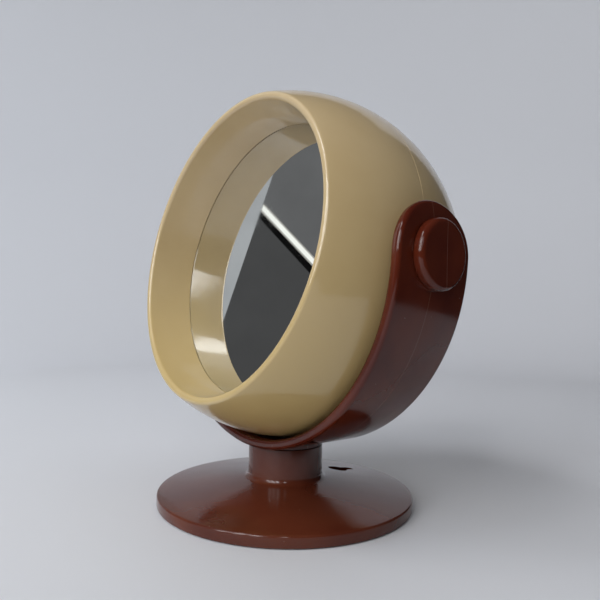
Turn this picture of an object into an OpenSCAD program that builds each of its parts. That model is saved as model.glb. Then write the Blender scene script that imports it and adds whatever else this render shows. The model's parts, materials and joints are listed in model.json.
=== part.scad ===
// Extendable shaving mirror: a round mirror in a ball-shaped head that tilts in a curved yoke.
// The yoke swivels on a three-stage telescopic neck, and the round base stands on a table or
// hangs from a wall screw by its keyhole.
// Origin: centre of the base's underside. +Z up, the mirror faces -Y, the tilt axis lies along X.

/* [Base] */
// Radius of the round base
base_r = 70; // [60:1:90]
// Height of the base's upright edge above the table
edge_h = 6.3; // [5.5:0.1:9]
// Rounding of the edge's upper corner
edge_round = 1.2; // [0.5:0.1:1.8]
// Slope of the base's conical top, in degrees
cone_angle = 8.4; // [6:0.2:14]
// Wall thickness of the base moulding
base_wall = 2.6; // [1.8:0.1:3]
// Gap between the table and the moulding's lower edge
skirt_gap = 0.5; // [0.2:0.1:0.9]
// Thickness of the rubber pad that the mirror stands on
pad_t = 1; // [1:0.1:1.5]
// Thickness of the steel closing plate
plate_t = 1.5; // [1:0.1:1.8]
// Height of the ballast ring
ballast_h = 5.5; // [3:0.5:6]
// Radius of the circle that the base's screws stand on
base_screw_pcr = 45; // [42:0.5:48]

/* [Keyhole] */
// Distance of the keyhole's round part from the neck's axis
keyhole_y = 40.5; // [40:0.5:44]
// Radius of the round part, which a wall screw's head passes
keyhole_r = 5.75; // [4:0.25:6.25]
// Width of the slot, which takes the wall screw's shank
slot_w = 5.5; // [4.5:0.25:6]
// Distance from the round part's centre to the slot's end centre
slot_run = 9; // [7:0.5:11]

/* [Neck] */
// Outer radius of the neck
neck_r = 20.5; // [19.5:0.1:24.6]
// Height of the neck's top above the table
neck_h = 31.6; // [30:0.1:40]
// Wall thickness of the neck
neck_wall = 3; // [2.5:0.1:3.4]
// Radius of the fillet between the base's top and the neck
neck_fillet = 3.4; // [2:0.2:6]
// Wall thickness of the three sliding tubes
tube_wall = 1; // [0.8:0.1:1.1]
// Thickness of the guide bushes and glide rings between the tubes
bush_t = 1.5; // [1.2:0.1:1.6]
// Height of a guide bush
bush_h = 5; // [3:0.5:6]
// Height of a glide ring
glide_h = 4; // [3:0.5:5]

/* [Yoke] */
// Outer radius of the yoke's curved band
yoke_r = 99.75; // [98:0.05:120]
// Thickness of the band along its edges
yoke_t = 5; // [4.4:0.1:5.2]
// Thickness of the band in the middle of its lowest part, where it is hollowed for the ball
yoke_floor_t = 3.3; // [3:0.1:4]
// Half the width of the band, and the radius of its round ends
yoke_half_w = 23.9; // [21:0.1:28]
// Rounding of the band's edges
yoke_round = 1.9; // [0.5:0.1:2]

/* [Head] */
// Radius of the ball-shaped head
head_r = 92.3; // [88:0.1:93]
// Wall thickness of the two head shells
head_wall = 2.6; // [2:0.1:3]
// Angle by which the mirror leans back at rest, in degrees
head_tilt = 10; // [-30:1:45]
// Distance from the tilt axis to the centre of the rim's rounded lip
rim_f = 44.5; // [40:0.5:50]
// Radius of the rim's rounded lip
lip_r = 2.1; // [1.5:0.1:2.4]
// Radius of the mirror glass
glass_r = 75; // [62.5:0.1:75.4]
// Thickness of the mirror glass
glass_t = 3; // [2:0.5:4]
// Distance from the tilt axis to the glass's front face
glass_f = 19.7; // [19.5:0.1:26]
// Width of the shoulder that holds the glass's front edge
shoulder_w = 0.7; // [0.5:0.1:1.5]
// Thickness of the foam behind the glass
foam_t = 2; // [1:0.5:2]
// Thickness of the backing plate
backing_t = 2; // [1.5:0.1:2.2]

/* [Tilt pivots] */
// Radius of the round caps on the yoke's ends
cap_r = 15.4; // [13:0.1:17]
// Thickness of the caps
cap_t = 4.8; // [3:0.1:6]
// Rounding of the caps' edges
cap_round = 2.4; // [0.5:0.1:2.8]
// Radius of the pivot shafts
pivot_r = 6; // [4:0.5:7]
// Radius of the bosses inside the head that clamp the shafts
boss_r = 12; // [10.5:0.5:12.5]

/* [Hidden] */
$fn = 96;

// Clearances
running = 0.05;     // radial gap of a guide or pivot that moves
seated = 0.02;      // radial gap of a piece that is pressed or glued in
apart = 0.3;        // gap between faces that move past each other
touch = 0.1;        // gap beside a washer that turns
overlap = 1;        // how far a cut runs past the face it opens

// Base
plate_top = pad_t + plate_t;
lid_r = base_r - base_wall - apart;
slope = tan(cone_angle);
edge_x = base_r - edge_round * (1 - sin(cone_angle));
edge_z = edge_h - edge_round * (1 - cos(cone_angle));
cavity_drop = base_wall / cos(cone_angle);
fillet_x = neck_r + neck_fillet;
fillet_z = cone_z(fillet_x) + neck_fillet / cos(cone_angle);
post_r = 3.5;
base_screw_angles = [30, 150, 270];
screw_r = 1.5;
screw_head_r = 3;
base_screw_top = cone_z(base_screw_pcr) - base_wall + 0.4;
ballast_out_r = keyhole_y - keyhole_r - overlap;
ballast_top = min(plate_top + ballast_h, cone_z(ballast_out_r) - cavity_drop - touch);
keyhole_margin = 1;  // the plate's and the pad's keyholes are wider by this much

// Neck
neck_bore_r = neck_r - neck_wall;
tube_foot = plate_top + 0.7;
tube_top = neck_h - apart;
bush_foot = tube_top - bush_h;

// Yoke
collar_z = neck_h + apart;
yoke_z = collar_z + yoke_r;            // height of the centre of the band's curve
yoke_in_r = yoke_r - yoke_t;
collar_h = yoke_t - 1.3;
screw_floor = collar_z + yoke_floor_t / 2;
swivel_r = 3;
swivel_head_r = 5.5;
swivel_head_t = 1.7;
swivel_bottom = plate_top + 12;
nut_t = 4;
spring_t = 0.6;
plug_foot = swivel_bottom + nut_t + spring_t + 0.8;

// Head
head_gap = 1.3;                        // gap between the ball and the hollow in the band
pivot_z = collar_z + yoke_floor_t + head_gap + head_r;
head_in_r = head_r - head_wall;
lip_x = sqrt(pow(head_r - lip_r, 2) - pow(rim_f, 2));
rabbet_r = glass_r + 0.3;
rabbet_end = glass_f - glass_t - foam_t;
funnel_t = 2.2;
backing_r = lug_pcr() + post_r;
lug_foot = rabbet_end + apart;         // the posts stand back, so that the plate bears on the funnel
lug_end = sqrt(pow(head_r - 0.5 * head_wall, 2) - pow(backing_r, 2));
ring_half = 5;
ring_t = 2;

// Tilt pivots, as distances from the middle along X
boss_face = head_r + 0.6;
boss_foot = head_in_r - 6;
ear_face = yoke_r - 0.5;               // the caps turn in shallow spot faces
cap_face = ear_face + apart + cap_t;
bush_r = pivot_r + 1.6;
flange_r = bush_r + 3.4;
flange_t = 0.8;
flange_face = yoke_in_r - flange_t;
washer_r = flange_r - 1.5;
pivot_screw_r = 2;

// Height of the base's conical top at distance r from its axis
function cone_z(r) = edge_z + (edge_x - r) * slope;
// Bore that the k-th tube slides in, and that tube's outer and inner radius (1 is the widest)
function bore_r(k) = neck_bore_r - (k - 1) * (bush_t + tube_wall);
function tube_r(k) = bore_r(k) - bush_t;
function tube_in_r(k) = tube_r(k) - tube_wall;
// Radius of the circle that the backing plate's screws stand on
function lug_pcr() = rabbet_r + funnel_t / 2 + post_r;

// ---------- shared shapes ----------

module ring(outer, inner, low, high) {
    translate([0, 0, low])
        difference() {
            cylinder(r = outer, h = high - low);
            translate([0, 0, -overlap]) cylinder(r = inner, h = high - low + 2 * overlap);
        }
}

// Turns a solid about Z into one about X, on the right (side 1) or the left (side -1), at the pivot
module on_pivot(side) {
    translate([0, 0, pivot_z]) rotate([0, 90 * side, 0]) children();
}

// Places what is modelled in the head's own frame: centre at the pivot, Z forward out of the mirror
module in_head() {
    translate([0, 0, pivot_z]) rotate([90 - head_tilt, 0, 0]) children();
}

// A bar along the tilt axis, in the head's own frame
module head_bar(r, from, to, side) {
    rotate([0, 90 * side, 0]) translate([0, 0, from]) cylinder(r = r, h = to - from);
}

module keyhole(margin) {
    translate([0, 0, -overlap])
        linear_extrude(height = neck_h) {
            translate([0, keyhole_y]) circle(r = keyhole_r + margin);
            translate([0, keyhole_y + slot_run]) circle(r = slot_w / 2 + margin);
            translate([-slot_w / 2 - margin, keyhole_y])
                square([slot_w + 2 * margin, slot_run]);
        }
}

module at_base_screws() {
    for (a = base_screw_angles) rotate(a) translate([base_screw_pcr, 0, 0]) children();
}

module at_lugs() {
    for (a = [0:60:300]) rotate(a + 30) translate([lug_pcr(), 0, 0]) children();
}

// ---------- base ----------

module base_section() {
    difference() {
        union() {
            polygon([[neck_bore_r, skirt_gap], [base_r, skirt_gap],
                     [base_r, edge_h - edge_round], [base_r - edge_round, edge_h - edge_round],
                     [edge_x, edge_z], [neck_bore_r, cone_z(neck_bore_r)]]);
            translate([base_r - edge_round, edge_h - edge_round]) circle(r = edge_round);
            translate([neck_bore_r, plate_top]) square([neck_wall, neck_h - plate_top]);
            polygon([[neck_bore_r, cone_z(neck_bore_r)],
                     [fillet_x - neck_fillet * sin(cone_angle),
                      fillet_z - neck_fillet * cos(cone_angle)],
                     [fillet_x, fillet_z], [neck_bore_r, fillet_z]]);
        }
        translate([fillet_x, fillet_z]) circle(r = neck_fillet);
        polygon([[neck_r, -overlap], [base_r - base_wall, -overlap],
                 [base_r - base_wall, cone_z(base_r - base_wall) - cavity_drop],
                 [neck_r, cone_z(neck_r) - cavity_drop]]);
        square([neck_r, plate_top]);
    }
}

module base_shell() {
    color("#4a1f18")
        difference() {
            union() {
                rotate_extrude() base_section();
                at_base_screws() translate([0, 0, plate_top])
                    cylinder(r = post_r, h = base_screw_top - plate_top);
            }
            keyhole(0);
            at_base_screws() translate([0, 0, plate_top - overlap])
                cylinder(r = screw_r, h = base_screw_top - plate_top + overlap);
        }
}

module base_plate() {
    color("silver")
        difference() {
            translate([0, 0, pad_t]) cylinder(r = lid_r, h = plate_t);
            keyhole(keyhole_margin);
            at_base_screws() translate([0, 0, pad_t])
                cylinder(r1 = screw_head_r + running, r2 = screw_r + running, h = plate_t);
        }
}

module base_pad() {
    color("#2d211d")
        difference() {
            cylinder(r = lid_r - apart, h = pad_t);
            keyhole(keyhole_margin);
        }
}

module ballast_ring() {
    color("#55565a") ring(ballast_out_r, neck_r + apart, plate_top, ballast_top);
}

module base_screws() {
    color("silver")
        at_base_screws() {
            translate([0, 0, pad_t]) cylinder(r1 = screw_head_r, r2 = screw_r, h = plate_t);
            translate([0, 0, plate_top]) cylinder(r = screw_r - seated, h = base_screw_top - plate_top);
        }
}

module neck_bush() {
    color("ivory") ring(bore_r(1) - seated, tube_r(1) + running, bush_foot, neck_h);
}

// ---------- telescopic neck ----------

module neck_tube(k) {
    color("lightgray") ring(tube_r(k), tube_in_r(k), tube_foot, tube_top);
}

// Glide ring at the foot of the k-th tube. It meets the bush above it at full travel
module glide(k) {
    color("ivory") ring(bore_r(k) - running, tube_r(k) + seated, tube_foot, tube_foot + glide_h);
}

// Guide bush in the mouth of the k-th tube, for the next tube to slide in
module tube_bush(k) {
    color("ivory") ring(tube_in_r(k) - seated, tube_r(k + 1) + running, bush_foot, tube_top);
}

module outer_tube() { neck_tube(1); }
module outer_glide() { glide(1); }
module middle_bush() { tube_bush(1); }
module middle_tube() { neck_tube(2); }
module middle_glide() { glide(2); }
module inner_bush() { tube_bush(2); }
module inner_tube() { neck_tube(3); }
module inner_glide() { glide(3); }

module stem_plug() {
    color("#8a8a86") ring(tube_in_r(3) - seated, swivel_r + seated, plug_foot, tube_top);
}

// ---------- swivel ----------

module swivel_screw() {
    color("silver")
        difference() {
            union() {
                translate([0, 0, swivel_bottom]) cylinder(r = swivel_r, h = screw_floor - swivel_bottom);
                translate([0, 0, screw_floor]) cylinder(r = swivel_head_r, h = swivel_head_t);
            }
            translate([-swivel_head_r, -0.6, screw_floor + swivel_head_t / 2])
                cube([2 * swivel_head_r, 1.2, swivel_head_t]);
        }
}

module swivel_washer() {
    color("ivory") ring(tube_in_r(3) - apart, swivel_r + touch, tube_top, collar_z - touch);
}

module swivel_spring() {
    color("#6f7072")
        ring(swivel_r + 3, swivel_r + touch, plug_foot - spring_t, plug_foot);
}

module swivel_nut() {
    color("silver")
        translate([0, 0, plug_foot - spring_t - nut_t])
            difference() {
                cylinder(r = swivel_r + 2.8, h = nut_t, $fn = 6);
                translate([0, 0, -overlap]) cylinder(r = swivel_r + seated, h = nut_t + 2 * overlap);
            }
}

// ---------- yoke ----------

module band_section() {
    low = yoke_in_r + yoke_round;
    high = yoke_r - yoke_round;
    side = yoke_half_w - yoke_round;
    translate([yoke_in_r, -side]) square([yoke_t, 2 * side]);
    translate([low, -yoke_half_w]) square([high - low, 2 * yoke_half_w]);
    for (x = [low, high], y = [-side, side]) translate([x, y]) circle(r = yoke_round);
}

module yoke() {
    color("#4a1f18")
        difference() {
            union() {
                intersection() {
                    translate([0, 0, yoke_z]) rotate([90, 0, 0]) rotate_extrude() band_section();
                    union() {
                        translate([-2 * yoke_r, -2 * yoke_half_w, 0])
                            cube([4 * yoke_r, 4 * yoke_half_w, pivot_z]);
                        on_pivot(1) translate([0, 0, -2 * yoke_r])
                            cylinder(r = yoke_half_w, h = 4 * yoke_r);
                    }
                }
                translate([0, 0, collar_z]) cylinder(r = neck_r, h = collar_h);
                for (side = [-1, 1]) on_pivot(side) translate([0, 0, yoke_in_r + yoke_t / 2])
                    cylinder(r = cap_r, h = ear_face - yoke_in_r - yoke_t / 2);
            }
            for (side = [-1, 1]) on_pivot(side) {
                cylinder(r = bush_r, h = 2 * yoke_r);
                translate([0, 0, head_r]) cylinder(r = flange_r + apart, h = yoke_in_r - head_r);
            }
            for (side = [-1, 1]) on_pivot(side) translate([0, 0, ear_face])
                cylinder(r = cap_r + apart, h = yoke_t);
            translate([0, 0, pivot_z]) sphere(r = head_r + head_gap);
            translate([0, 0, collar_z - overlap]) cylinder(r = swivel_r + running, h = yoke_r);
            translate([0, 0, screw_floor]) cylinder(r = swivel_head_r + apart, h = yoke_r / 2);
        }
}

module ear_bush(side) {
    color("ivory")
        on_pivot(side) {
            ring(bush_r - seated, pivot_r + running, flange_face, ear_face);
            ring(flange_r, bush_r - seated - touch, flange_face, yoke_in_r);
        }
}

module left_ear_bush() { ear_bush(-1); }
module right_ear_bush() { ear_bush(1); }

// ---------- head ----------

// The ball's wall in section, from the seam to the radius that the lip is centred on
module ball_section() {
    intersection() {
        difference() {
            circle(r = head_r);
            circle(r = head_in_r);
        }
        polygon([[0, 0], [2 * head_r, 0], [2 * lip_x, 2 * rim_f]]);
    }
}

module front_section() {
    ball_section();
    translate([lip_x, rim_f]) circle(r = lip_r);
    polygon([[lip_x - lip_r, rim_f], [glass_r - shoulder_w, glass_f], [rabbet_r, glass_f],
             [rabbet_r, rabbet_end], [rabbet_r + funnel_t, rabbet_end],
             [rabbet_r + funnel_t, glass_f], [lip_x, rim_f]]);
}

module head_bosses(front) {
    for (side = [-1, 1])
        intersection() {
            head_bar(boss_r, boss_foot, boss_face, side);
            translate([-2 * head_r, -head_r, front ? 0 : -head_r]) cube([4 * head_r, 2 * head_r, head_r]);
        }
}

module shaft_bores() {
    for (side = [-1, 1]) head_bar(pivot_r + seated, 0, 2 * head_r, side);
}

module front_shell() {
    color("#b8a877")
        in_head()
            difference() {
                union() {
                    rotate_extrude() front_section();
                    at_lugs() translate([0, 0, lug_foot]) cylinder(r = post_r, h = lug_end - lug_foot);
                    head_bosses(true);
                }
                shaft_bores();
                at_lugs() translate([0, 0, lug_foot - overlap])
                    cylinder(r = screw_r, h = lug_end - lug_foot - 2);
            }
}

module rear_shell() {
    color("#b8a877")
        in_head()
            difference() {
                union() {
                    rotate_extrude()
                        intersection() {
                            difference() {
                                circle(r = head_r);
                                circle(r = head_in_r);
                            }
                            translate([0, -head_r]) square([head_r, head_r]);
                        }
                    head_bosses(false);
                }
                shaft_bores();
            }
}

// Bonded across the seam inside the two shells
module joining_ring() {
    color("#9a8c62")
        in_head()
            difference() {
                rotate_extrude()
                    intersection() {
                        difference() {
                            circle(r = head_in_r - touch);
                            circle(r = head_in_r - ring_t);
                        }
                        translate([0, -ring_half]) square([head_r, 2 * ring_half]);
                    }
                for (side = [-1, 1]) head_bar(boss_r + apart, 0, head_r, side);
            }
}

module mirror_glass() {
    color("#aeb9bf") in_head() translate([0, 0, glass_f - glass_t]) cylinder(r = glass_r, h = glass_t);
}

module foam_pad() {
    color("#3c3c3c") in_head() translate([0, 0, rabbet_end]) cylinder(r = glass_r - 1, h = foam_t);
}

module backing_plate() {
    color("#6d5a3c")
        in_head()
            difference() {
                translate([0, 0, rabbet_end - backing_t]) cylinder(r = backing_r, h = backing_t);
                at_lugs() translate([0, 0, rabbet_end - backing_t - overlap])
                    cylinder(r = screw_r + running, h = backing_t + 2 * overlap);
            }
}

module backing_screws() {
    color("silver")
        in_head()
            at_lugs() {
                translate([0, 0, rabbet_end - backing_t])
                    cylinder(r = screw_r - seated, h = backing_t + 8);
                translate([0, 0, rabbet_end - backing_t - 1.6]) cylinder(r = screw_head_r, h = 1.6);
            }
}

// ---------- tilt pivots ----------

module cap_section() {
    inner = ear_face + apart;
    square([pivot_r, cap_face]);
    translate([0, inner]) square([cap_r - cap_round, cap_t]);
    translate([0, inner]) square([cap_r, cap_t - cap_round]);
    translate([cap_r - cap_round, cap_face - cap_round]) circle(r = cap_round);
}

module pivot_cap(side) {
    color("#4a1f18")
        on_pivot(side)
            difference() {
                rotate_extrude() cap_section();
                translate([0, 0, -overlap]) cylinder(r = pivot_r + overlap, h = boss_foot + overlap);
                cylinder(r = pivot_screw_r, h = boss_foot + 10);
            }
}

module left_pivot_cap() { pivot_cap(-1); }
module right_pivot_cap() { pivot_cap(1); }

module friction_washers() {
    color("#6f7072")
        for (side = [-1, 1]) on_pivot(side)
            ring(washer_r, pivot_r + touch, boss_face, flange_face - touch);
}

module retaining_washers() {
    color("silver")
        for (side = [-1, 1]) on_pivot(side)
            ring(boss_r - overlap, pivot_screw_r + touch, boss_foot - 1.2, boss_foot);
}

module pivot_screws() {
    color("silver")
        for (side = [-1, 1]) on_pivot(side) {
            translate([0, 0, boss_foot - 1.2]) cylinder(r = pivot_screw_r - seated, h = 1.2 + 9);
            translate([0, 0, boss_foot - 1.2 - 2.2]) cylinder(r = 2 * pivot_screw_r, h = 2.2);
        }
}

base_shell();
base_plate();
base_pad();
ballast_ring();
base_screws();
neck_bush();
outer_tube();
outer_glide();
middle_bush();
middle_tube();
middle_glide();
inner_bush();
inner_tube();
inner_glide();
stem_plug();
swivel_screw();
swivel_washer();
swivel_spring();
swivel_nut();
yoke();
left_ear_bush();
right_ear_bush();
front_shell();
rear_shell();
joining_ring();
mirror_glass();
foam_pad();
backing_plate();
backing_screws();
left_pivot_cap();
right_pivot_cap();
friction_washers();
retaining_washers();
pivot_screws();
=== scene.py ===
# A shaving mirror from the table up: weighted base, telescopic neck, yoke, and the ball-shaped
# head with its glass, put together in the order that they are assembled. Lengths are in metres.

import json
from math import atan2, cos, degrees, pi, radians, sin, sqrt, tan

import bmesh
import bpy
from mathutils import Matrix, Vector


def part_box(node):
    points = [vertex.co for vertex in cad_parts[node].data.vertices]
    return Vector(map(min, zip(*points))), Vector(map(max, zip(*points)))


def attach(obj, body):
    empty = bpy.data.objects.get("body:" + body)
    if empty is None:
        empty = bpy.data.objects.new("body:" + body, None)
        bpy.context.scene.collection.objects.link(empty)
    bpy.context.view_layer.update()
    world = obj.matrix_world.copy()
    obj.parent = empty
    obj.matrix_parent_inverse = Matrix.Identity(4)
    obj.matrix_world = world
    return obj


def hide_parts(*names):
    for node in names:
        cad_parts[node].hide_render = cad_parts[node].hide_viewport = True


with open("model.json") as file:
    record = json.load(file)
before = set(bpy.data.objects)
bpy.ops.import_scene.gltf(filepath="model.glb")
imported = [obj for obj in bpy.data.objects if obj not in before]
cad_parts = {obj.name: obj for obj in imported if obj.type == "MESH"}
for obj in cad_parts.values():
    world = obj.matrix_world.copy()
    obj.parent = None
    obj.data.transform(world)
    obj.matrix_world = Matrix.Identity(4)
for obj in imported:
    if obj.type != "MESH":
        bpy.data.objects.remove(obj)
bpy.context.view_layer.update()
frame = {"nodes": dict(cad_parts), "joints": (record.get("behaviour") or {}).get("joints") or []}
nodes = frame["nodes"]
joint_at = {joint["name"]: Vector(joint.get("pos_m", (0, 0, 0))) for joint in frame["joints"]}


# ---- Base moulding -------------------------------------------------------------------------
# A round foot and its short neck, injection moulded in one piece from glossy red-brown ABS.
# The wall is 2.6 mm thick, and a keyhole behind the neck lets the foot hang on a wall screw.

RING_STEPS = 180
ROD_STEPS = 96
WELD = 1e-7
SHARP = 35


def straight(bm, vert, across, up):
    """Carries an outline in the XZ plane on from vert with a straight line to (across, up)."""
    end = bm.verts.new((across, 0, up))
    bm.edges.new((vert, end))
    return end


def rounded(bm, vert, centre, turned_by, steps):
    """Carries an outline on with an arc about centre, by that many degrees anticlockwise."""
    spun = bmesh.ops.spin(bm, geom=[vert], cent=(centre[0], 0, centre[1]), axis=(0, -1, 0),
                          angle=radians(turned_by), steps=steps)
    return last_vert(spun)


def last_vert(spun):
    """The vertex that a spin of one vertex ended on."""
    return next(item for item in spun["geom_last"] if isinstance(item, bmesh.types.BMVert))


def turn(bm, steps=RING_STEPS):
    """Turns an outline about Z into a closed surface of revolution."""
    bmesh.ops.remove_doubles(bm, verts=bm.verts, dist=WELD)
    bmesh.ops.spin(bm, geom=bm.verts[:] + bm.edges[:], axis=(0, 0, 1), angle=2 * pi, steps=steps,
                   use_merge=True)
    bmesh.ops.remove_doubles(bm, verts=bm.verts, dist=WELD)
    bmesh.ops.recalc_face_normals(bm, faces=bm.faces)


def piece(name, bm, body=None, replaced=(), sharp=SHARP):
    """Makes the finished object from bm, smooth but for edges sharper than the angle."""
    mesh = bpy.data.meshes.new(name)
    bm.to_mesh(mesh)
    bm.free()
    mesh.shade_smooth()
    mesh.set_sharp_from_angle(angle=radians(sharp))
    made = bpy.data.objects.new(name, mesh)
    bpy.context.scene.collection.objects.link(made)
    if body:
        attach(made, body)
        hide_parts(*replaced)
    return made


def carve(target, tool, operation="DIFFERENCE"):
    """Cuts the tool out of the target, or joins it on, and throws the tool away."""
    cut = target.modifiers.new("cut", "BOOLEAN")
    cut.object = tool
    cut.operation = operation
    cut.solver = "EXACT"
    bpy.context.view_layer.update()
    finished = target.evaluated_get(bpy.context.evaluated_depsgraph_get())
    result = bpy.data.meshes.new_from_object(finished)
    target.modifiers.clear()
    target.data = result
    result.shade_smooth()
    result.set_sharp_from_angle(angle=radians(SHARP))
    bpy.data.objects.remove(tool)


def rod(name, radius, low, high, place=Matrix.Identity(4)):
    """A plain cylinder about Z from low to high, moved by the matrix place."""
    bm = bmesh.new()
    middle = place @ Matrix.Translation((0, 0, (low + high) / 2))
    bmesh.ops.create_cone(bm, cap_ends=True, segments=ROD_STEPS, radius1=radius, radius2=radius,
                          depth=high - low, matrix=middle)
    return piece(name, bm)


base_low, base_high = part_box("base_shell")
BASE_R = base_high.x
SKIRT_Z = base_low.z
NECK_TOP = base_high.z
EDGE_H = 0.0063
EDGE_ROUND = 0.0012
BASE_WALL = 0.0026
CONE_DEGREES = 8.4
CONE = radians(CONE_DEGREES)
CONE_STEPS = 11
SKIRT_ROUND = 0.0003
NECK_R = 0.0205
NECK_WALL = 0.003
NECK_FILLET = 0.0034
MOUTH_ROUND = 0.0004
PLATE_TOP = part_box("base_plate")[1].z

shoulder = Vector((BASE_R - EDGE_ROUND * (1 - sin(CONE)), EDGE_H - EDGE_ROUND * (1 - cos(CONE))))


def cone_z(r, drop=0.0):
    """Height of the foot's conical top, or of its underside, at distance r from the axis."""
    return shoulder.y + (shoulder.x - r) * tan(CONE) - drop / cos(CONE)


fillet = Vector((NECK_R + NECK_FILLET, cone_z(NECK_R + NECK_FILLET) + NECK_FILLET / cos(CONE)))
bm = bmesh.new()
point = start = bm.verts.new((BASE_R - BASE_WALL, 0, SKIRT_Z))
point = straight(bm, point, BASE_R - SKIRT_ROUND, SKIRT_Z)
point = rounded(bm, point, (BASE_R - SKIRT_ROUND, SKIRT_Z + SKIRT_ROUND), 90, 3)
point = straight(bm, point, BASE_R, EDGE_H - EDGE_ROUND)
point = rounded(bm, point, (BASE_R - EDGE_ROUND, EDGE_H - EDGE_ROUND), 90 - CONE_DEGREES, 8)
for step in range(1, CONE_STEPS + 1):
    r = shoulder.x + (fillet.x - NECK_FILLET * sin(CONE) - shoulder.x) * step / CONE_STEPS
    point = straight(bm, point, r, cone_z(r))
point = rounded(bm, point, fillet, CONE_DEGREES - 90, 8)
point = straight(bm, point, NECK_R, NECK_TOP - MOUTH_ROUND)
point = rounded(bm, point, (NECK_R - MOUTH_ROUND, NECK_TOP - MOUTH_ROUND), 90, 4)
point = straight(bm, point, NECK_R - NECK_WALL, NECK_TOP)
point = straight(bm, point, NECK_R - NECK_WALL, PLATE_TOP)
point = straight(bm, point, NECK_R, PLATE_TOP)
point = straight(bm, point, NECK_R, cone_z(NECK_R, BASE_WALL))
point = straight(bm, point, BASE_R - BASE_WALL, cone_z(BASE_R - BASE_WALL, BASE_WALL))
bm.edges.new((point, start))
turn(bm)
base = piece("base_moulding", bm, "base", ["base_shell"])

KEYHOLE_Y = 0.0405
KEYHOLE_R = 0.00575
SLOT_HALF = 0.00275
SLOT_RUN = 0.009
carve(base, rod("keyhole_round", KEYHOLE_R, 0, NECK_TOP, Matrix.Translation((0, KEYHOLE_Y, 0))))
bm = bmesh.new()
near_left, near_right = [bm.verts.new((SLOT_HALF * side, KEYHOLE_Y, 0)) for side in (-1, 1)]
far_left = bm.verts.new((-SLOT_HALF, KEYHOLE_Y + SLOT_RUN, 0))
bm.edges.new((near_left, far_left))
far_right = last_vert(bmesh.ops.spin(bm, geom=[far_left], cent=(0, KEYHOLE_Y + SLOT_RUN, 0),
                                     axis=(0, 0, -1), angle=pi, steps=24))
bm.edges.new((far_right, near_right))
bm.edges.new((near_right, near_left))


def thicken(bm, thickness):
    """Fills the outline in bm and raises it to that thickness, as a closed plate."""
    face = bmesh.ops.contextual_create(bm, geom=bm.edges)["faces"]
    raised = bmesh.ops.extrude_face_region(bm, geom=face)["geom"]
    top = [item for item in raised if isinstance(item, bmesh.types.BMVert)]
    bmesh.ops.translate(bm, vec=(0, 0, thickness), verts=top)
    bmesh.ops.recalc_face_normals(bm, faces=bm.faces)


thicken(bm, NECK_TOP)
carve(base, piece("keyhole_slot", bm))


def mix_colour(tree, factor, first, second):
    """A colour that goes from first to second with factor, which is a socket."""
    mix = tree.nodes.new("ShaderNodeMix")
    mix.data_type = "RGBA"
    tree.links.new(factor, mix.inputs["Factor"])
    for socket, colour in ((mix.inputs["A"], first), (mix.inputs["B"], second)):
        if isinstance(colour, bpy.types.NodeSocket):
            tree.links.new(colour, socket)
        else:
            socket.default_value = (*colour, 1)
    return mix.outputs["Result"]


def spread(tree, value, low, high, to_low=0.0, to_high=1.0):
    """Carries the range low to high of a socket over to another range, held at its ends."""
    ramp = tree.nodes.new("ShaderNodeMapRange")
    tree.links.new(value, ramp.inputs["Value"])
    ends = {"From Min": low, "From Max": high, "To Min": to_low, "To Max": to_high}
    for socket, number in ends.items():
        ramp.inputs[socket].default_value = number
    ramp.interpolation_type = "SMOOTHSTEP"
    return ramp.outputs["Result"]


def cloud(tree, scale, detail, stretch=(1, 1, 1)):
    """Soft noise in the object's own space, with that many cells to the metre."""
    place = tree.nodes.new("ShaderNodeTexCoord")
    mapping = tree.nodes.new("ShaderNodeMapping")
    mapping.inputs["Scale"].default_value = stretch
    noise = tree.nodes.new("ShaderNodeTexNoise")
    noise.inputs["Scale"].default_value = scale
    noise.inputs["Detail"].default_value = detail
    tree.links.new(place.outputs["Object"], mapping.inputs["Vector"])
    tree.links.new(mapping.outputs["Vector"], noise.inputs["Vector"])
    return noise.outputs["Fac"]


def flecks(tree, per_metre, radius, share):
    """1 on small round flecks of that radius in metres, in that share of the cells."""
    place = tree.nodes.new("ShaderNodeTexCoord")
    cells = tree.nodes.new("ShaderNodeTexVoronoi")
    cells.inputs["Scale"].default_value = per_metre
    tree.links.new(place.outputs["Object"], cells.inputs["Vector"])
    chosen = tree.nodes.new("ShaderNodeSeparateColor")
    tree.links.new(cells.outputs["Color"], chosen.inputs["Color"])
    reach = radius * per_metre
    dot = spread(tree, cells.outputs["Distance"], reach * 0.6, reach, 1, 0)
    kept = spread(tree, chosen.outputs["Red"], share, share + 0.001, 1, 0)
    both = tree.nodes.new("ShaderNodeMath")
    both.operation = "MULTIPLY"
    tree.links.new(dot, both.inputs[0])
    tree.links.new(kept, both.inputs[1])
    return both.outputs["Value"]


def relief(tree, shader, height, depth):
    """Lets a height from 0 to 1 stand for that depth in metres on the shader's surface."""
    bump = tree.nodes.new("ShaderNodeBump")
    bump.inputs["Distance"].default_value = depth
    bump.inputs["Strength"].default_value = 1
    tree.links.new(height, bump.inputs["Height"])
    before = shader.inputs["Normal"]
    if before.is_linked:
        tree.links.new(before.links[0].from_socket, bump.inputs["Normal"])
    tree.links.new(bump.outputs["Normal"], before)


def finish_named(name):
    """A new material with its tree and its main shader."""
    material = bpy.data.materials.new(name)
    material.use_nodes = True
    return material, material.node_tree, material.node_tree.nodes["Principled BSDF"]


def height_above(tree, low, high):
    """0 to 1 between two heights above the table."""
    place = tree.nodes.new("ShaderNodeTexCoord")
    parts = tree.nodes.new("ShaderNodeSeparateXYZ")
    tree.links.new(place.outputs["Object"], parts.inputs["Vector"])
    return spread(tree, parts.outputs["Z"], low, high)


def clouded(tree, scale, detail, dark, light):
    """Two shades of one colour in soft clouds, with scale cells to the metre."""
    return mix_colour(tree, spread(tree, cloud(tree, scale, detail), 0.3, 0.7), dark, light)


LINE_HALF = 0.00012


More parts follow.
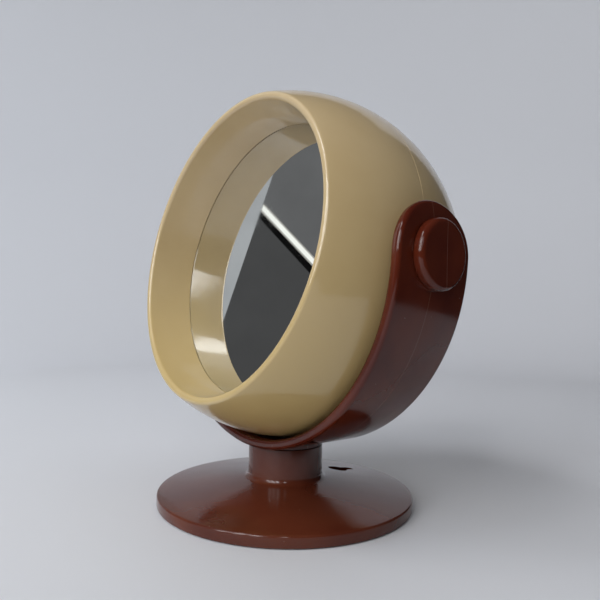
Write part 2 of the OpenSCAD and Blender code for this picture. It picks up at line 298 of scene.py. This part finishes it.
def oxblood_abs(name, dark, light, line_y=None):
    """Glossy red-brown ABS: cloudy pigment, a faint ripple, dust, and a parting line at line_y."""
    material, tree, shader = finish_named(name)
    pigment = clouded(tree, 28, 4, dark, light)
    dust = flecks(tree, per_metre=420, radius=0.00016, share=0.10)
    colour = mix_colour(tree, dust, pigment, (0.42, 0.36, 0.32))
    shader.inputs["Specular IOR Level"].default_value = 0.42
    polish = spread(tree, cloud(tree, 60, 3), 0.25, 0.75, 0.09, 0.17)
    tree.links.new(polish, shader.inputs["Roughness"])
    relief(tree, shader, cloud(tree, 260, 2), 0.00002)
    relief(tree, shader, cloud(tree, 45, 2), 0.0001)
    if line_y is not None:
        place = tree.nodes.new("ShaderNodeTexCoord")
        parts = tree.nodes.new("ShaderNodeSeparateXYZ")
        on_line = tree.nodes.new("ShaderNodeMath")
        on_line.operation = "COMPARE"
        on_line.inputs[1].default_value = line_y
        on_line.inputs[2].default_value = LINE_HALF
        tree.links.new(place.outputs["Object"], parts.inputs["Vector"])
        tree.links.new(parts.outputs["Y"], on_line.inputs[0])
        colour = mix_colour(tree, on_line.outputs["Value"], colour, (0.16, 0.075, 0.055))
    tree.links.new(colour, shader.inputs["Base Color"])
    return material


def dress(obj, material):
    """Puts one material on a whole piece."""
    obj.data.materials.clear()
    obj.data.materials.append(material)
    obj.data.polygons.foreach_set("material_index", [0] * len(obj.data.polygons))


BASE_DARK = (0.075, 0.0145, 0.0068)
BASE_LIGHT = (0.108, 0.0255, 0.0115)
dress(base, oxblood_abs("oxblood_abs_base", BASE_DARK, BASE_LIGHT))


# ---- Underside -----------------------------------------------------------------------------
# A zinc-plated steel plate closes the foot, held by three countersunk screws. A cast ring inside
# weighs the foot down, and a thin rubber pad glued over the plate keeps it from sliding.


def metal(name, colour, rough, grain=(1, 1, 1), grain_scale=900, depth=0.00001, blotch=0.15):
    """Metal with a fine grain and slightly blotched brightness."""
    material, tree, shader = finish_named(name)
    shader.inputs["Metallic"].default_value = 1.0
    darker = tuple(c * (1 - blotch) for c in colour)
    tree.links.new(clouded(tree, 90, 4, darker, colour), shader.inputs["Base Color"])
    polish = spread(tree, cloud(tree, grain_scale, 3, grain), 0.3, 0.7, rough * 0.75, rough * 1.25)
    tree.links.new(polish, shader.inputs["Roughness"])
    relief(tree, shader, cloud(tree, grain_scale, 2, grain), depth)
    return material


def dull(name, light, dark, rough, scale=300, depth=0.00005):
    """A dull, slightly mottled and grained surface, such as rubber, nylon, foam or raw plastic."""
    material, tree, shader = finish_named(name)
    tree.links.new(clouded(tree, scale, 5, dark, light), shader.inputs["Base Color"])
    roughness = spread(tree, cloud(tree, scale * 0.4, 3), 0.3, 0.7, rough * 0.85, min(1, rough * 1.15))
    tree.links.new(roughness, shader.inputs["Roughness"])
    relief(tree, shader, cloud(tree, scale * 2, 4), depth)
    return material


zinc = metal("zinc_plate", (0.62, 0.64, 0.66), rough=0.32)
for name in ("base_plate", "base_screws"):
    dress(nodes[name], zinc)
casting = dull("ballast_casting", (0.035, 0.035, 0.037), (0.015, 0.015, 0.016), rough=0.7)
dress(nodes["ballast_ring"], casting)
foot_rubber = dull("foot_rubber", (0.030, 0.024, 0.021), (0.016, 0.013, 0.012), rough=0.8, scale=700,
                   depth=0.0001)
dress(nodes["base_pad"], foot_rubber)


# ---- Telescopic neck -----------------------------------------------------------------------
# Three thin chromed tubes nest in the neck. Each has a nylon glide ring at its foot and runs in a
# nylon bush in the mouth of what is round it, and the two stop it at full reach.

nylon = dull("natural_nylon", (0.72, 0.69, 0.60), (0.62, 0.58, 0.48), rough=0.42, scale=240,
             depth=0.00002)
for name in ("neck_bush", "outer_glide", "middle_bush", "middle_glide", "inner_bush", "inner_glide"):
    dress(nodes[name], nylon)
chrome = metal("chromed_tube", (0.74, 0.75, 0.77), rough=0.09, grain=(1, 1, 0.04), grain_scale=1400,
               depth=0.000004, blotch=0.06)
TUBE_WALL = 0.001
TUBE_ROUND = 0.00035
TUBES = {"outer_tube": "outer_stage", "middle_tube": "middle_stage", "inner_tube": "stem"}
for name, body in TUBES.items():
    low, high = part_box(name)
    outside, inside = high.x, high.x - TUBE_WALL
    bm = bmesh.new()
    point = start = bm.verts.new((inside, 0, low.z))
    point = straight(bm, point, outside, low.z)
    point = straight(bm, point, outside, high.z - TUBE_ROUND)
    point = rounded(bm, point, (outside - TUBE_ROUND, high.z - TUBE_ROUND), 90, 4)
    point = straight(bm, point, inside + TUBE_ROUND, high.z)
    point = rounded(bm, point, (inside + TUBE_ROUND, high.z - TUBE_ROUND), 90, 4)
    bm.edges.new((point, start))
    turn(bm, steps=128)
    dress(piece(f"chromed_{name}", bm, body, [name]), chrome)


# ---- Swivel --------------------------------------------------------------------------------
# A turned steel plug closes the inner tube. The yoke turns on a shoulder screw through it, on a
# nylon washer, and a spring washer over the nut keeps the swivel stiff.

steel = metal("turned_steel", (0.50, 0.50, 0.51), rough=0.28, grain=(1, 1, 0.1), grain_scale=700)
spring_steel = metal("spring_steel", (0.26, 0.26, 0.27), rough=0.35)
dress(nodes["stem_plug"], steel)
dress(nodes["swivel_washer"], nylon)
dress(nodes["swivel_spring"], spring_steel)
for name in ("swivel_screw", "swivel_nut"):
    dress(nodes[name], zinc)


# ---- Yoke ----------------------------------------------------------------------------------
# One curved ABS band, 5 mm thick and 48 mm wide, with round ends that carry the head's pivots and
# a short collar under its middle that sits over the neck. It is hollowed to clear the ball, and
# its edges are well rounded.

OXBLOOD_DARK = (0.062, 0.0085, 0.0040)
OXBLOOD = (0.095, 0.0165, 0.0065)
yoke_low, yoke_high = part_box("yoke")
PIVOT = joint_at["head_tilt"]
YOKE_R = 0.09975
YOKE_T = 0.005
FLOOR_T = 0.0033
HALF_W = yoke_high.y
YOKE_ROUND = 0.0019
COLLAR_Z = yoke_low.z
CENTRE_Z = COLLAR_Z + YOKE_R
STRIP = 0.0018
PARTING_Y = -0.0012
BUSH_R = 0.0076
FLANGE_R = 0.0113
CAP_R = 0.0154
CAP_GAP = 0.0003
SPOT_DEPTH = 0.0005
EAR_FACE = YOKE_R - SPOT_DEPTH
SCREW_HOLE_R = 0.00305
SCREW_HEAD_R = 0.0058
BALL_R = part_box("front_shell")[1].z - PIVOT.z
BALL_GAP = 0.0013
PAST = 0.001
NEAR = 0.00005

# The band is made flat: X runs along it, Y across it and Z through it, outwards. It is then bent.
reach = YOKE_R * (pi / 2 + atan2(PIVOT.z - CENTRE_Z, YOKE_R))
bm = bmesh.new()
ends = []
for side in (1, -1):
    first = bm.verts.new((side * reach, -side * HALF_W, 0))
    last = last_vert(bmesh.ops.spin(bm, geom=[first], cent=(side * reach, 0, 0), axis=(0, 0, 1),
                                    angle=pi, steps=48))
    ends.append((first, last))
bm.edges.new((ends[0][1], ends[1][0]))
bm.edges.new((ends[1][1], ends[0][0]))
thicken(bm, YOKE_T)
rims = [edge for edge in bm.edges if abs(edge.verts[0].co.z - edge.verts[1].co.z) < WELD]
bmesh.ops.bevel(bm, geom=rims, offset=YOKE_ROUND, affect="EDGES", segments=6, profile=0.5,
                material=-1)
strips = int(2 * reach / STRIP)
crossings = [2 * reach * step / strips - reach for step in range(1, strips)]
crossings += [side * (reach + HALF_W * share)
              for side in (-1, 1) for share in (0.25, 0.5, 0.75, 0.9)]
for at in crossings:
    bmesh.ops.bisect_plane(bm, geom=bm.verts[:] + bm.edges[:] + bm.faces[:], plane_co=(at, 0, 0),
                           plane_no=(1, 0, 0))
for vert in bm.verts:
    bend = vert.co.x / YOKE_R
    out = YOKE_R - YOKE_T + vert.co.z
    vert.co = (out * sin(bend), vert.co.y, CENTRE_Z - out * cos(bend))
yoke = piece("yoke_band", bm, "yoke", ["yoke"])

# The collar, the hollow for the ball, in each ear the cap's seat and the bush's holes, and last
# the swivel screw's hole in the middle.
bm = bmesh.new()
bmesh.ops.create_uvsphere(bm, u_segments=240, v_segments=120, radius=BALL_R + BALL_GAP,
                          matrix=Matrix.Translation(PIVOT) @ Matrix.Rotation(pi / 2, 4, "Y"))
hollow = piece("ball_hollow", bm)
carve(yoke, rod("collar", NECK_R, COLLAR_Z, COLLAR_Z + YOKE_T - BALL_GAP), "UNION")
carve(yoke, hollow)
for side in (-1, 1):
    ear = Matrix.Translation(PIVOT) @ Matrix.Rotation(side * pi / 2, 4, "Y")
    carve(yoke, rod("seat", CAP_R, YOKE_R - YOKE_T / 2, EAR_FACE, ear), "UNION")
    carve(yoke, rod("spot_face", CAP_R + CAP_GAP, EAR_FACE, EAR_FACE + YOKE_T, ear))
    carve(yoke, rod("bush_hole", BUSH_R, YOKE_R - 2 * YOKE_T, YOKE_R + 2 * YOKE_T, ear))
    carve(yoke, rod("flange_seat", FLANGE_R, YOKE_R - 3 * YOKE_T, YOKE_R - YOKE_T, ear))
carve(yoke, rod("swivel_hole", SCREW_HOLE_R, COLLAR_Z - PAST, COLLAR_Z + FLOOR_T))
carve(yoke, rod("screw_recess", SCREW_HEAD_R, COLLAR_Z + FLOOR_T / 2, COLLAR_Z + 2 * YOKE_T))
dress(yoke, oxblood_abs("oxblood_abs_yoke", OXBLOOD_DARK, OXBLOOD, PARTING_Y))
# The moulding is left unpolished in the hollow and painted darker there, as painted shade in the gap
# under the ball, and the ring round each cap is painted pale, as dust and as a painted highlight.
matte_painted_shade = dull("painted_shade_hollow", (0.050, 0.0100, 0.0050), (0.038, 0.0070, 0.0035), rough=0.6)
# The ring round each cap is painted pale: dust, and a painted highlight where the cap meets the yoke.
dust_and_highlight = dull("dust_and_highlight_seam", (0.42, 0.34, 0.29), (0.26, 0.18, 0.14), rough=0.8)
yoke.data.materials.append(matte_painted_shade)
yoke.data.materials.append(dust_and_highlight)
for face in yoke.data.polygons:
    out = face.center - PIVOT
    if abs(out.length - BALL_R - BALL_GAP) < NEAR:
        face.material_index = 1
    elif abs(out.x) > EAR_FACE and abs(out.yz.length - CAP_R - CAP_GAP) < NEAR:
        face.material_index = 2
for name in ("left_ear_bush", "right_ear_bush"):
    dress(nodes[name], nylon)


# ---- Head shells ---------------------------------------------------------------------------
# Two glossy cream ABS mouldings bonded along the ball's equator make a ball 185 mm across with a
# 2.6 mm wall. The front one ends in a rounded lip and turns in as a funnel down to the glass.

BALL_WALL = 0.0026
RIM_F = 0.0445
LIP_R = 0.0021
GLASS_F = 0.0197
SHOULDER_R = 0.0743
RABBET_R = 0.0753
RABBET_END = 0.0147
FUNNEL_T = 0.0022
SEAM = 0.0002
CREVICE = 0.0004
FUNNEL_STEPS = 7
LIP_BACK = 1.2
TILT = radians(10)
IN_HEAD = Matrix.Translation(PIVOT) @ Matrix.Rotation(pi / 2 - TILT, 4, "X")


def in_head(bm):
    """Carries what is modelled about Z, forwards being up, over to the tilted head."""
    bmesh.ops.transform(bm, matrix=IN_HEAD, verts=bm.verts)


lip_x = sqrt((BALL_R - LIP_R) ** 2 - RIM_F ** 2)
lip_angle = degrees(atan2(RIM_F, lip_x))
seam_angle = degrees(SEAM / BALL_R)
inner_r = BALL_R - BALL_WALL
inner_angle = lip_angle - LIP_BACK

bm = bmesh.new()
point = start = bm.verts.new((inner_r, 0, 0))
point = straight(bm, point, BALL_R - SEAM, 0)
point = straight(bm, point, BALL_R, SEAM)
point = rounded(bm, point, (0, 0), lip_angle - seam_angle, 30)
point = rounded(bm, point, (lip_x, RIM_F), 180 - lip_angle, 16)
for step in range(1, FUNNEL_STEPS + 1):
    share = step / FUNNEL_STEPS
    across = lip_x - LIP_R + (SHOULDER_R - lip_x + LIP_R) * share
    point = straight(bm, point, across, RIM_F + (GLASS_F + CREVICE - RIM_F) * share)
point = straight(bm, point, SHOULDER_R + CREVICE, GLASS_F)
point = straight(bm, point, RABBET_R, GLASS_F)
point = straight(bm, point, RABBET_R, RABBET_END)
point = straight(bm, point, RABBET_R + FUNNEL_T, RABBET_END)
point = straight(bm, point, RABBET_R + FUNNEL_T, GLASS_F)
point = straight(bm, point, inner_r * cos(radians(inner_angle)), inner_r * sin(radians(inner_angle)))
point = rounded(bm, point, (0, 0), -inner_angle, 24)
turn(bm, steps=240)
in_head(bm)
front = piece("front_ball_shell", bm, "head", ["front_shell"], sharp=30)

bm = bmesh.new()
point = bm.verts.new((0, 0, -BALL_R))
point = rounded(bm, point, (0, 0), 90 - seam_angle, 72)
point = straight(bm, point, BALL_R - SEAM, 0)
point = straight(bm, point, inner_r, 0)
point = rounded(bm, point, (0, 0), -90, 48)
turn(bm, steps=240)
in_head(bm)
rear = piece("rear_ball_shell", bm, "head", ["rear_shell"], sharp=30)


def cream_abs(name):
    """Glossy cream ABS with cloudy pigment and dark specks, yellower towards the bottom."""
    material, tree, shader = finish_named(name)
    pigment = clouded(tree, 16, 4, (0.50, 0.365, 0.190), (0.56, 0.420, 0.235))
    yellower_low = mix_colour(tree, height_above(tree, 0.20, 0.03), pigment, (0.52, 0.375, 0.150))
    specks = flecks(tree, per_metre=95, radius=0.00030, share=0.05)
    fine = flecks(tree, per_metre=330, radius=0.00011, share=0.04)
    colour = mix_colour(tree, specks, yellower_low, (0.16, 0.09, 0.04))
    colour = mix_colour(tree, fine, colour, (0.25, 0.17, 0.09))
    tree.links.new(colour, shader.inputs["Base Color"])
    shader.inputs["Specular IOR Level"].default_value = 0.65
    shader.inputs["Coat Weight"].default_value = 0.6
    shader.inputs["Coat Roughness"].default_value = 0.35
    polish = spread(tree, cloud(tree, 40, 3), 0.25, 0.75, 0.07, 0.13)
    tree.links.new(polish, shader.inputs["Roughness"])
    relief(tree, shader, cloud(tree, 240, 2), 0.000025)
    relief(tree, shader, cloud(tree, 30, 2), 0.00015)
    return material


cream = cream_abs("cream_abs")
dress(front, cream)
dress(rear, cream)
raw_cream = dull("raw_cream_abs", (0.48, 0.38, 0.21), (0.42, 0.33, 0.18), rough=0.55, scale=200,
                 depth=0.00002)
dress(nodes["joining_ring"], raw_cream)


# ---- Mirror glass --------------------------------------------------------------------------
# A flat disc of silvered glass with a ground edge. Foam and a hardboard plate hold it against the
# funnel's shoulder, and six screws hold the plate.

GLASS_R = 0.075
GLASS_T = 0.003
GROUND = 0.0004
bm = bmesh.new()
point = bm.verts.new((0, 0, GLASS_F))
point = straight(bm, point, GLASS_R - GROUND, GLASS_F)
point = straight(bm, point, GLASS_R, GLASS_F - GROUND)
point = straight(bm, point, GLASS_R, GLASS_F - GLASS_T + GROUND)
point = straight(bm, point, GLASS_R - GROUND, GLASS_F - GLASS_T)
point = straight(bm, point, 0, GLASS_F - GLASS_T)
turn(bm, steps=240)
in_head(bm)
glass = piece("silvered_glass", bm, "head", ["mirror_glass"], sharp=20)

material, tree, shader = finish_named("silvering")
shader.inputs["Metallic"].default_value = 1.0
lint = flecks(tree, per_metre=260, radius=0.00014, share=0.05)
silver = mix_colour(tree, lint, (0.84, 0.86, 0.86), (0.45, 0.45, 0.44))
smears = spread(tree, cloud(tree, 22, 5), 0.45, 0.75, 0.012, 0.05)
tree.links.new(silver, shader.inputs["Base Color"])
tree.links.new(smears, shader.inputs["Roughness"])
dress(glass, material)
foam = dull("closed_cell_foam", (0.045, 0.045, 0.046), (0.025, 0.025, 0.025), rough=0.85, scale=900,
            depth=0.0002)
dress(nodes["foam_pad"], foam)
hardboard = dull("hardboard", (0.20, 0.115, 0.055), (0.13, 0.072, 0.033), rough=0.75, scale=500,
                 depth=0.0001)
dress(nodes["backing_plate"], hardboard)
dress(nodes["backing_screws"], zinc)


# ---- Tilt pivots ---------------------------------------------------------------------------
# Round red-brown ABS caps whose shafts run through bushes in the yoke's ends into bosses on the
# ball. Screws and washers hold them from inside, and spring washers make the tilt stiff.

BOSS_R = 0.012
BOSS_PROUD = 0.0006
BOSS_DEPTH = 0.006
BOSS_FACE = BALL_R + BOSS_PROUD
BOSS_FOOT = inner_r - BOSS_DEPTH
SHAFT_R = 0.006
SCREW_R = 0.002
SCREW_DEPTH = 0.01
CAP_T = 0.0048
CAP_ROUND = 0.0024
CAP_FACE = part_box("right_pivot_cap")[1].x
FOOT_ROUND = 0.0003
FACE_STEPS = 8
DISH = 0.00012
SHAFT_GAP = 0.00002
CAP_PARTING_Y = 0.0010
cap_finish = oxblood_abs("oxblood_abs_caps", OXBLOOD_DARK, OXBLOOD, CAP_PARTING_Y)
for name, side in (("left", -1), ("right", 1)):
    place = Matrix.Translation(PIVOT) @ Matrix.Rotation(side * pi / 2, 4, "Y")
    bm = bmesh.new()
    point = bm.verts.new((0, 0, BOSS_FOOT + SCREW_DEPTH))
    point = straight(bm, point, SCREW_R, BOSS_FOOT + SCREW_DEPTH)
    point = straight(bm, point, SCREW_R, BOSS_FOOT)
    point = straight(bm, point, SHAFT_R, BOSS_FOOT)
    point = straight(bm, point, SHAFT_R, CAP_FACE - CAP_T)
    point = straight(bm, point, CAP_R - FOOT_ROUND, CAP_FACE - CAP_T)
    point = rounded(bm, point, (CAP_R - FOOT_ROUND, CAP_FACE - CAP_T + FOOT_ROUND), 90, 3)
    point = straight(bm, point, CAP_R, CAP_FACE - CAP_ROUND)
    point = rounded(bm, point, (CAP_R - CAP_ROUND, CAP_FACE - CAP_ROUND), 90, 10)
    for step in range(1, FACE_STEPS + 1):
        share = 1 - step / FACE_STEPS
        point = straight(bm, point, (CAP_R - CAP_ROUND) * share, CAP_FACE - DISH * (1 - share ** 2))
    turn(bm, steps=128)
    bmesh.ops.transform(bm, matrix=place, verts=bm.verts)
    dress(piece(f"{name}_cap", bm, "head", [f"{name}_pivot_cap"]), cap_finish)

    bm = bmesh.new()
    point = start = bm.verts.new((SHAFT_R + SHAFT_GAP, 0, BOSS_FOOT))
    point = straight(bm, point, BOSS_R, BOSS_FOOT)
    point = straight(bm, point, BOSS_R, BOSS_FACE - FOOT_ROUND)
    point = rounded(bm, point, (BOSS_R - FOOT_ROUND, BOSS_FACE - FOOT_ROUND), 90, 3)
    point = straight(bm, point, SHAFT_R + SHAFT_GAP, BOSS_FACE)
    bm.edges.new((point, start))
    turn(bm, steps=96)
    bmesh.ops.transform(bm, matrix=place, verts=bm.verts)
    dress(piece(f"{name}_boss", bm, "head", []), cream)
dress(nodes["friction_washers"], spring_steel)
dress(nodes["retaining_washers"], zinc)
dress(nodes["pivot_screws"], zinc)


# ---- Room ----------------------------------------------------------------------------------
# The piece stands on pale paper that curves up behind it, lit by a tall window of three panes on
# the left behind the camera. A dark board with a bright bar is seen only in reflections.

PAPER_R = 1.3
TABLE_R = 0.4
COVE_R = 0.5
WALL_H = 1.6
CURVE_AT = PAPER_R - COVE_R
PAPER_STEP = 3
PAPER_WELD = 1e-6


def plain(name, colour, rough):
    """One even, dull colour."""
    material, _, shader = finish_named(name)
    shader.inputs["Base Color"].default_value = (*colour, 1)
    shader.inputs["Roughness"].default_value = rough
    return material


paper = plain("pale_paper", (0.655, 0.655, 0.680), 0.6)


def shining(name, colour):
    """A colour that looks the same in any light, slightly mottled."""
    material, tree, shader = finish_named(name)
    shader.inputs["Base Color"].default_value = (0, 0, 0, 1)
    shader.inputs["Specular IOR Level"].default_value = 0
    dimmer = tuple(c * 0.7 for c in colour)
    mottled = mix_colour(tree, cloud(tree, 14, 7), dimmer, colour)
    tree.links.new(mottled, shader.inputs["Emission Color"])
    shader.inputs["Emission Strength"].default_value = 1
    return material


def swept(name, outline, first, last):
    """Sweeps an outline about Z from one angle to another, in degrees, in whole steps."""
    bmesh.ops.rotate(outline, verts=outline.verts, matrix=Matrix.Rotation(radians(first), 3, "Z"))
    bmesh.ops.spin(outline, geom=outline.verts[:] + outline.edges[:], axis=(0, 0, 1),
                   angle=radians(last - first), steps=(last - first) // PAPER_STEP)
    bmesh.ops.remove_doubles(outline, verts=outline.verts, dist=PAPER_WELD)
    bmesh.ops.recalc_face_normals(outline, faces=outline.faces)
    made = piece(name, outline)
    dress(made, paper)
    return made


def level(near, far):
    """The outline of level paper between two distances from the axis."""
    outline = bmesh.new()
    straight(outline, outline.verts.new((near, 0, 0)), far, 0)
    return outline


def cove():
    """The outline of the paper's curve and wall."""
    outline = bmesh.new()
    point = rounded(outline, outline.verts.new((CURVE_AT, 0, 0)), (CURVE_AT, COVE_R), 90, 24)
    straight(outline, point, PAPER_R, WALL_H)
    return outline


swept("table", level(0, TABLE_R), 0, 360)
swept("near_paper", level(TABLE_R, CURVE_AT), 99, 339)
swept("backdrop", cove(), 99, 216)

# The room's far side is dark, so the paper there is for the camera only and lights nothing.
dim_side = swept("dim_paper", level(TABLE_R, CURVE_AT), 339, 459)
surround = swept("surround", cove(), 216, 459)
for made in (dim_side, surround):
    made.visible_diffuse = made.visible_glossy = made.visible_shadow = False

CAMERA_AT = Vector((0.2450, -0.1937, 0.1018))
AIM = Vector((-0.7844, 0.6202, -0.0058)).normalized()
ROLL = radians(1.12)
across = AIM.cross(Vector((0, 0, 1))).normalized()
upright = across.cross(AIM)
right = across * cos(ROLL) + upright * sin(ROLL)
up = upright * cos(ROLL) - across * sin(ROLL)
camera = bpy.data.cameras.new("camera")
camera.lens = 33.48
camera.sensor_width = 36
camera.shift_x = 0.0199
camera.shift_y = 0.0331
camera.clip_start = 0.01
camera_object = bpy.data.objects.new("camera", camera)
bpy.context.scene.collection.objects.link(camera_object)
facing = Matrix((right, up, -AIM)).transposed().to_4x4()
camera_object.matrix_world = Matrix.Translation(CAMERA_AT) @ facing
bpy.context.scene.camera = camera_object

# What the glass shows: boards in the plane across the reflected line of sight, which lean a little.
LEAN = 0.018
BOARD_FAR = 0.55
SEEN = Vector((-0.8107, -0.5165, 0.2755))
BOARD_AT = PIVOT + SEEN * BOARD_FAR
board_x = SEEN.cross(Vector((0, 0, 1))).normalized()
board_y = board_x.cross(SEEN)


def board(name, top, bottom, colour, nearer, edge=0.0105, far=-0.4):
    """A flat shape between two slanting lines, top and bottom, each given by its ends' heights."""
    bm = bmesh.new()
    for x, y in ((edge - LEAN * bottom[0], bottom[0]), (edge - LEAN * top[0], top[0]),
                 (far, top[1]), (far, bottom[1])):
        bm.verts.new(BOARD_AT + board_x * x + board_y * y - SEEN * nearer)
    bmesh.ops.contextual_create(bm, geom=bm.verts)
    made = piece(name, bm)
    dress(made, shining(name, colour))
    made.visible_camera = made.visible_diffuse = made.visible_shadow = False


# The boards glow with a fixed painted light and no lamp lights them. The bar is a bright core with
# painted shade on its edges, and a painted shadow lies under it.
board("grey_wall", (0.7, 0.7), (-0.5, -0.5), (0.47, 0.485, 0.50), -0.02, 0.6, -0.6)
board("dark_board_low", (0.080, -0.139), (-0.4, -0.4), (0.080, 0.080, 0.081), 0, 0.0115)
board("dark_board_high", (0.4, 0.4), (0.080, -0.139), (0.160, 0.161, 0.164), 0, 0.0115)
board("bar_shadow", (0.078, -0.140), (0.0672, -0.1600), (0.006, 0.006, 0.006), 0.002)
board("bar_shaded_edges", (0.0892, -0.1300), (0.0765, -0.1427), (0.5, 0.49, 0.45), 0.003)
board("bright_bar", (0.0868, -0.1325), (0.0792, -0.1400), (1.25, 1.26, 1.18), 0.004)

DAYLIGHT = (0.96, 0.98, 1.0)


def lamp(name, at, towards, width, height, watts, colour):
    """A soft rectangular light."""
    light = bpy.data.lights.new(name, "AREA")
    light.shape = "RECTANGLE"
    light.size = width
    light.size_y = height
    light.energy = watts
    light.color = colour
    holder = bpy.data.objects.new(name, light)
    bpy.context.scene.collection.objects.link(holder)
    holder.location = at
    holder.rotation_mode = "QUATERNION"
    holder.rotation_quaternion = (Vector(towards) - Vector(at)).to_track_quat("-Z", "Y")
    holder.visible_camera = False
    return holder


def lamp_towards(name, azimuth, height, distance, width, tall, watts):
    """A lamp that stands in that direction, level distance and height, aimed at the mirror."""
    at = (distance * cos(radians(azimuth)), distance * sin(radians(azimuth)), height)
    return lamp(name, at, PIVOT, width, tall, watts, DAYLIGHT)


for pane, azimuth in enumerate((-92, -77, -62)):
    lamp_towards(f"window_pane_{pane + 1}", azimuth, 1.0, 1.7, 0.25, 1.3, 8.7)
lamp_towards("far_window", -38, 1.05, 1.7, 0.12, 0.75, 2.2)
lamp_towards("skylight", -105, 1.55, 0.95, 0.9, 0.45, 8.7)
lamp_towards("ceiling", 70, 1.9, 0.5, 1.5, 1.5, 6).visible_glossy = False
lamp("window_glow", (-0.5, -0.9, 0.6), (-1.3, 0.1, 0.35), 0.5, 0.5, 3.5, (0.78, 0.89, 1.0))

world = bpy.data.worlds.new("room")
world.use_nodes = True
world.node_tree.nodes["Background"].inputs["Color"].default_value = (0.5, 0.52, 0.56, 1)
world.node_tree.nodes["Background"].inputs["Strength"].default_value = 0.06
bpy.context.scene.world = world
bpy.context.scene.view_settings.view_transform = "Standard"
